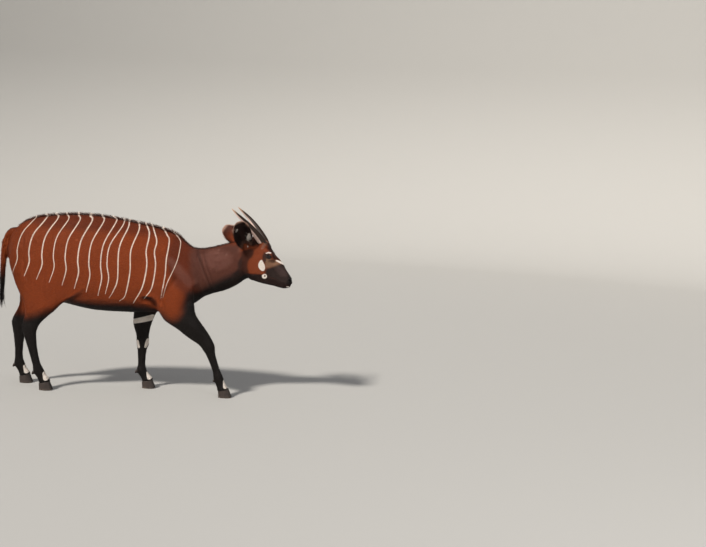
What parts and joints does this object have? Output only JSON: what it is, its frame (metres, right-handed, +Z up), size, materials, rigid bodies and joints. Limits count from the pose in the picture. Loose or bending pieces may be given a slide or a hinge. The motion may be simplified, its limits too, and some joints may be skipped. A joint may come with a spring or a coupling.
{
  "type": "bongo antelope",
  "caption": "Life-size young bongo antelope standing in mid stride, with lyre-leaning horns, cupped ears, a short back crest and a tufted tail.",
  "frame": {"origin": "middle of the model's outline on the floor, at the level of the soles", "axes": "+X forward, the way the animal walks and faces; +Y its left side; +Z up"},
  "size_m": [1.9679, 0.4267, 1.2642],
  "materials": {
    "coat": "short glossy chestnut hair with thin white stripes",
    "dark_coat": "short near-black hair with white patches",
    "horn": "smooth dark horn",
    "hoof": "smooth dark horn",
    "eye": "wet gloss, nearly black brown"
  },
  "bodies": {
    "root": {"claw_foreleg_left_left": "hoof", "claw_foreleg_left_right": "hoof", "claw_foreleg_right_left": "hoof", "claw_foreleg_right_right": "hoof", "claw_hindleg_left_left": "hoof", "claw_hindleg_left_right": "hoof", "claw_hindleg_right_left": "hoof", "claw_hindleg_right_right": "hoof", "ear_left": "coat", "ear_right": "coat", "eye_left": "eye", "eye_right": "eye", "foreleg_left": "dark_coat", "foreleg_right": "dark_coat", "head": "coat", "hindleg_left": "dark_coat", "hindleg_right": "dark_coat", "horn_left": "horn", "horn_right": "horn", "neck": "coat", "tail": "coat", "torso": "coat"}
  },
  "joints": []
}
